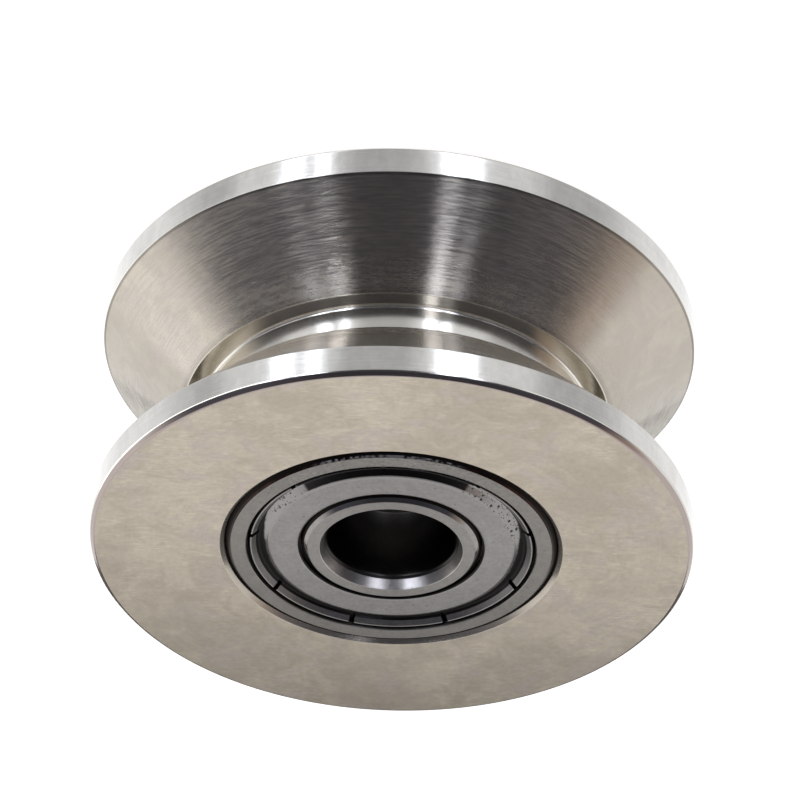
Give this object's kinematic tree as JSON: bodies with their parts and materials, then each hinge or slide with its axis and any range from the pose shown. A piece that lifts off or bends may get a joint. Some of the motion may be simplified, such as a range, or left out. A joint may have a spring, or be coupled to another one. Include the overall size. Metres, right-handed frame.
{
  "type": "v groove wheel",
  "caption": "Turned steel V groove track wheel with a square relief slot at the root of the V, turning on two shielded ball bearings pressed flush into its end faces.",
  "frame": {"origin": "centre of the wheel on its axle axis, midway between the two end faces", "axes": "+Z along the axle axis, out of the end with the upper bearing; X and Y across the wheel, X through the first ball of each bearing"},
  "size_m": [0.047, 0.047, 0.0216],
  "materials": {
    "turned_steel": "fine turned, faintly mottled faces",
    "bearing_ring_steel": "ground, slightly dull",
    "shield_steel": "pressed sheet, satin",
    "cage_steel": "pressed sheet, tumbled",
    "rivet_steel": "headed wire",
    "ball_steel": "polished",
    "spacer_steel": "turned"
  },
  "bodies": {
    "root": {"inner_ring_top": "bearing_ring_steel", "spacer_sleeve": "spacer_steel", "inner_ring_bottom": "bearing_ring_steel"},
    "wheel": {"wheel_body": "turned_steel", "outer_ring_top": "bearing_ring_steel", "shield_outer_top": "shield_steel", "shield_inner_top": "shield_steel", "outer_ring_bottom": "bearing_ring_steel", "shield_outer_bottom": "shield_steel", "shield_inner_bottom": "shield_steel"},
    "cage_top": {"cage_upper_top": "cage_steel", "cage_lower_top": "cage_steel", "cage_rivets_top": "rivet_steel"},
    "cage_bottom": {"cage_upper_bottom": "cage_steel", "cage_lower_bottom": "cage_steel", "cage_rivets_bottom": "rivet_steel"},
    "ball_top_1_body": {"ball_top_1": "ball_steel"},
    "ball_top_2_body": {"ball_top_2": "ball_steel"},
    "ball_top_3_body": {"ball_top_3": "ball_steel"},
    "ball_top_4_body": {"ball_top_4": "ball_steel"},
    "ball_top_5_body": {"ball_top_5": "ball_steel"},
    "ball_top_6_body": {"ball_top_6": "ball_steel"},
    "ball_top_7_body": {"ball_top_7": "ball_steel"},
    "ball_bottom_1_body": {"ball_bottom_1": "ball_steel"},
    "ball_bottom_2_body": {"ball_bottom_2": "ball_steel"},
    "ball_bottom_3_body": {"ball_bottom_3": "ball_steel"},
    "ball_bottom_4_body": {"ball_bottom_4": "ball_steel"},
    "ball_bottom_5_body": {"ball_bottom_5": "ball_steel"},
    "ball_bottom_6_body": {"ball_bottom_6": "ball_steel"},
    "ball_bottom_7_body": {"ball_bottom_7": "ball_steel"}
  },
  "joints": [
    {"name": "wheel_spin", "type": "hinge", "parent": "root", "child": "wheel", "pos_m": [0, 0, 0], "axis": [0, 0, 1], "continuous": true},
    {"name": "cage_top_spin", "type": "hinge", "parent": "root", "child": "cage_top", "pos_m": [0, 0, 0.0068], "axis": [0, 0, 1], "continuous": true},
    {"name": "cage_bottom_spin", "type": "hinge", "parent": "root", "child": "cage_bottom", "pos_m": [0, 0, -0.0068], "axis": [0, 0, 1], "continuous": true},
    {"name": "ball_top_1_spin", "type": "hinge", "parent": "cage_top", "child": "ball_top_1_body", "pos_m": [0.009, 0, 0.0068], "axis": [0, 0, 1], "continuous": true},
    {"name": "ball_top_2_spin", "type": "hinge", "parent": "cage_top", "child": "ball_top_2_body", "pos_m": [0.00561, 0.00704, 0.0068], "axis": [0, 0, 1], "continuous": true},
    {"name": "ball_top_3_spin", "type": "hinge", "parent": "cage_top", "child": "ball_top_3_body", "pos_m": [-0.002, 0.00877, 0.0068], "axis": [0, 0, 1], "continuous": true},
    {"name": "ball_top_4_spin", "type": "hinge", "parent": "cage_top", "child": "ball_top_4_body", "pos_m": [-0.00811, 0.00391, 0.0068], "axis": [0, 0, 1], "continuous": true},
    {"name": "ball_top_5_spin", "type": "hinge", "parent": "cage_top", "child": "ball_top_5_body", "pos_m": [-0.00811, -0.00391, 0.0068], "axis": [0, 0, 1], "continuous": true},
    {"name": "ball_top_6_spin", "type": "hinge", "parent": "cage_top", "child": "ball_top_6_body", "pos_m": [-0.002, -0.00877, 0.0068], "axis": [0, 0, 1], "continuous": true},
    {"name": "ball_top_7_spin", "type": "hinge", "parent": "cage_top", "child": "ball_top_7_body", "pos_m": [0.00561, -0.00704, 0.0068], "axis": [0, 0, 1], "continuous": true},
    {"name": "ball_bottom_1_spin", "type": "hinge", "parent": "cage_bottom", "child": "ball_bottom_1_body", "pos_m": [0.009, 0, -0.0068], "axis": [0, 0, 1], "continuous": true},
    {"name": "ball_bottom_2_spin", "type": "hinge", "parent": "cage_bottom", "child": "ball_bottom_2_body", "pos_m": [0.00561, -0.00704, -0.0068], "axis": [0, 0, 1], "continuous": true},
    {"name": "ball_bottom_3_spin", "type": "hinge", "parent": "cage_bottom", "child": "ball_bottom_3_body", "pos_m": [-0.002, -0.00877, -0.0068], "axis": [0, 0, 1], "continuous": true},
    {"name": "ball_bottom_4_spin", "type": "hinge", "parent": "cage_bottom", "child": "ball_bottom_4_body", "pos_m": [-0.00811, -0.00391, -0.0068], "axis": [0, 0, 1], "continuous": true},
    {"name": "ball_bottom_5_spin", "type": "hinge", "parent": "cage_bottom", "child": "ball_bottom_5_body", "pos_m": [-0.00811, 0.00391, -0.0068], "axis": [0, 0, 1], "continuous": true},
    {"name": "ball_bottom_6_spin", "type": "hinge", "parent": "cage_bottom", "child": "ball_bottom_6_body", "pos_m": [-0.002, 0.00877, -0.0068], "axis": [0, 0, 1], "continuous": true},
    {"name": "ball_bottom_7_spin", "type": "hinge", "parent": "cage_bottom", "child": "ball_bottom_7_body", "pos_m": [0.00561, 0.00704, -0.0068], "axis": [0, 0, 1], "continuous": true}
  ],
  "couplings": [
    {"joint": "cage_top_spin", "follows": "wheel_spin", "ratio": 0.63228},
    {"joint": "cage_bottom_spin", "follows": "wheel_spin", "ratio": 0.63228},
    {"joint": "ball_top_1_spin", "follows": "wheel_spin", "ratio": 1.7577},
    {"joint": "ball_top_2_spin", "follows": "wheel_spin", "ratio": 1.7577},
    {"joint": "ball_top_3_spin", "follows": "wheel_spin", "ratio": 1.7577},
    {"joint": "ball_top_4_spin", "follows": "wheel_spin", "ratio": 1.7577},
    {"joint": "ball_top_5_spin", "follows": "wheel_spin", "ratio": 1.7577},
    {"joint": "ball_top_6_spin", "follows": "wheel_spin", "ratio": 1.7577},
    {"joint": "ball_top_7_spin", "follows": "wheel_spin", "ratio": 1.7577},
    {"joint": "ball_bottom_1_spin", "follows": "wheel_spin", "ratio": 1.7577},
    {"joint": "ball_bottom_2_spin", "follows": "wheel_spin", "ratio": 1.7577},
    {"joint": "ball_bottom_3_spin", "follows": "wheel_spin", "ratio": 1.7577},
    {"joint": "ball_bottom_4_spin", "follows": "wheel_spin", "ratio": 1.7577},
    {"joint": "ball_bottom_5_spin", "follows": "wheel_spin", "ratio": 1.7577},
    {"joint": "ball_bottom_6_spin", "follows": "wheel_spin", "ratio": 1.7577},
    {"joint": "ball_bottom_7_spin", "follows": "wheel_spin", "ratio": 1.7577}
  ]
}
